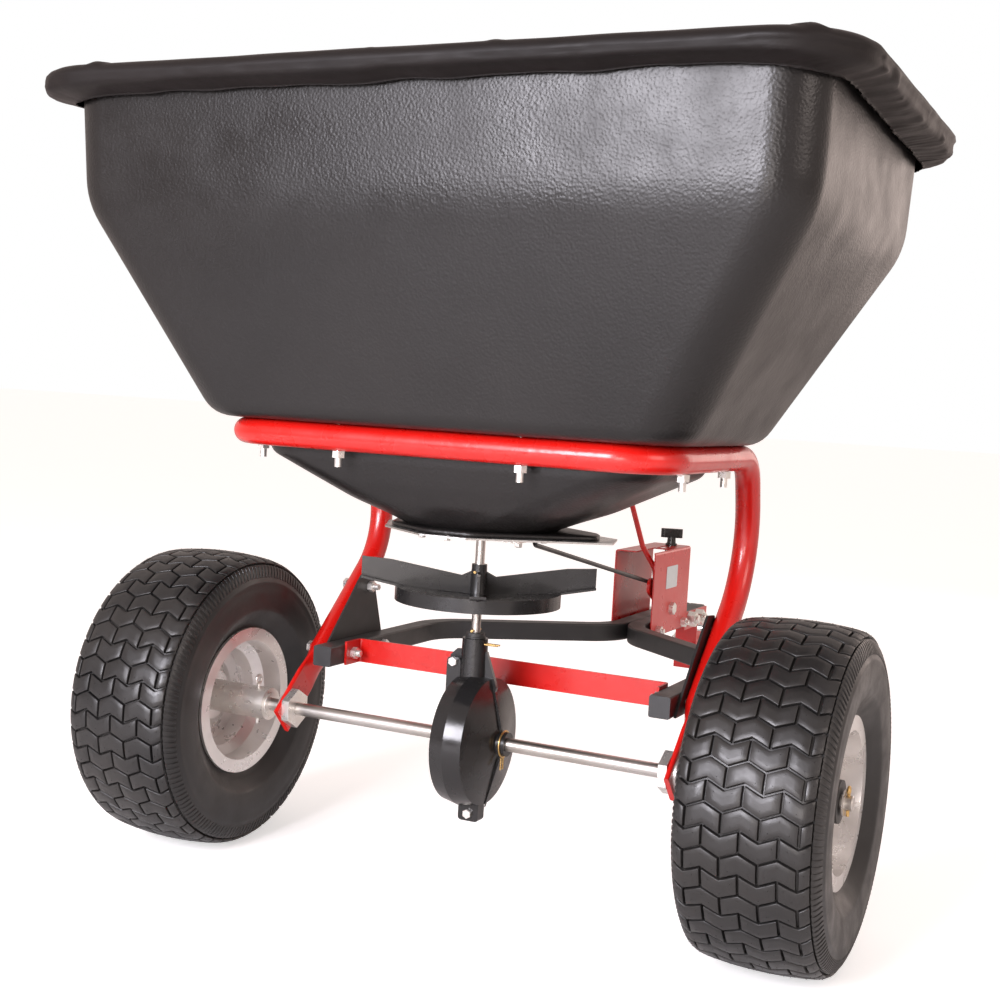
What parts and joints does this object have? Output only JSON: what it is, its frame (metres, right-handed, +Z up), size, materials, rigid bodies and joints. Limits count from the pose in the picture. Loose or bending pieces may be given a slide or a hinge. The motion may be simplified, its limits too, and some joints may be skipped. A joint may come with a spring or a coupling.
{
  "type": "tow-behind rotary spreader",
  "caption": "Tow-behind rotary spreader: a covered poly hopper on a bent tube frame, with turf wheels, a gearbox, a spinning impeller, a shut-off gate and a lever.",
  "frame": {"origin": "on the ground, in the middle of the machine's length and width", "axes": "+X to the machine's right, +Y forward to the towing machine, +Z up"},
  "size_m": [0.936, 1.161, 0.929],
  "materials": {
    "tyre": "moulded rubber",
    "wheel_silver": "silver paint",
    "zinc": "bright zinc plate",
    "steel": "drawn bar",
    "stainless": "rolled sheet",
    "red_paint": "gloss powder coat",
    "black_paint": "satin powder coat",
    "black_poly": "pebbled rotational moulding",
    "black_nylon": "injection moulded",
    "gear_nylon": "moulded gear",
    "bushing_nylon": "turned bushing",
    "cover_cloth": "coated woven cloth",
    "brass": "spring wire",
    "plate_pale": "blank plate",
    "cap_black": "pushed-in caps",
    "grip_rubber": "dipped grip",
    "valve_rubber": "valve stem"
  },
  "bodies": {
    "chassis": {"housing_front": "black_nylon", "housing_rear": "black_nylon", "housing_screws": "zinc", "housing_clips": "brass", "frame_tube": "red_paint", "axle_bushings": "zinc", "drawbar_left": "black_paint", "drawbar_right": "black_paint", "tube_caps": "cap_black", "gusset_left": "black_paint", "gusset_right": "black_paint", "cross_strap": "red_paint", "frame_bolts": "zinc", "frame_nuts": "zinc", "hopper": "black_poly", "hopper_bolts": "zinc", "hopper_nuts": "zinc", "rain_cover": "cover_cloth", "base_plate": "stainless", "base_screws": "zinc", "shaft_bushing": "bushing_nylon", "gate_guides": "zinc", "guide_screws": "zinc", "lever_box": "red_paint", "box_spacers": "zinc", "box_bolts": "zinc", "scale_plate": "plate_pale", "hitch_bracket": "red_paint", "hitch_yoke": "red_paint", "hitch_bolts": "zinc", "hitch_nuts": "zinc"},
    "drive_axle": {"rim_left": "wheel_silver", "tyre_left": "tyre", "valve_left": "valve_rubber", "hub_left": "zinc", "wheel_pin": "zinc", "axle_shaft": "steel", "axle_cotters": "brass", "axle_washers": "zinc", "ring_gear": "gear_nylon", "gear_pin": "steel"},
    "right_wheel": {"rim_right": "wheel_silver", "tyre_right": "tyre", "valve_right": "valve_rubber", "hub_right": "zinc", "wheel_bushings": "bushing_nylon"},
    "spinner": {"impeller_shaft": "steel", "pinion_gear": "steel", "thrust_washers": "bushing_nylon", "impeller": "black_nylon", "impeller_pins": "brass", "agitator": "stainless"},
    "lever": {"flow_lever": "red_paint", "lever_grip": "grip_rubber"},
    "gate": {"shutoff_gate": "stainless"},
    "link": {"link_rod": "black_paint"},
    "stop": {"rate_stop": "zinc"},
    "knob": {"t_knob": "black_nylon"}
  },
  "joints": [
    {"name": "axle_spin", "type": "hinge", "parent": "chassis", "child": "drive_axle", "pos_m": [0, -0.2895, 0.1855], "axis": [1, 0, 0], "continuous": true},
    {"name": "right_wheel_spin", "type": "hinge", "parent": "chassis", "child": "right_wheel", "pos_m": [0.381, -0.2895, 0.1855], "axis": [1, 0, 0], "continuous": true},
    {"name": "impeller_spin", "type": "hinge", "parent": "chassis", "child": "spinner", "pos_m": [0, -0.2895, 0.4], "axis": [0, 0, 1], "continuous": true},
    {"name": "lever_swing", "type": "hinge", "parent": "chassis", "child": "lever", "pos_m": [0.024, 0.3175, 0.279], "axis": [-1, 0, 0], "range_deg": [0, 30]},
    {"name": "gate_slide", "type": "slide", "parent": "chassis", "child": "gate", "axis": [0, 1, 0], "range_m": [0, 0.029]},
    {"name": "link_swing", "type": "hinge", "parent": "lever", "child": "link", "pos_m": [0.024, 0.2485, 0.325], "axis": [-1, 0, 0], "range_deg": [-35, 0]},
    {"name": "stop_slide", "type": "slide", "parent": "chassis", "child": "stop", "axis": [0, 1, 0], "range_m": [-0.048, 0]},
    {"name": "knob_turn", "type": "hinge", "parent": "stop", "child": "knob", "pos_m": [0.007, 0.3745, 0.38], "axis": [0, 0, 1], "range_deg": [-180, 180]}
  ],
  "couplings": [
    {"joint": "impeller_spin", "follows": "axle_spin", "ratio": -6},
    {"joint": "gate_slide", "follows": "lever_swing", "m_per_rad": 0.0484},
    {"joint": "link_swing", "follows": "lever_swing", "ratio": -1.1375}
  ]
}
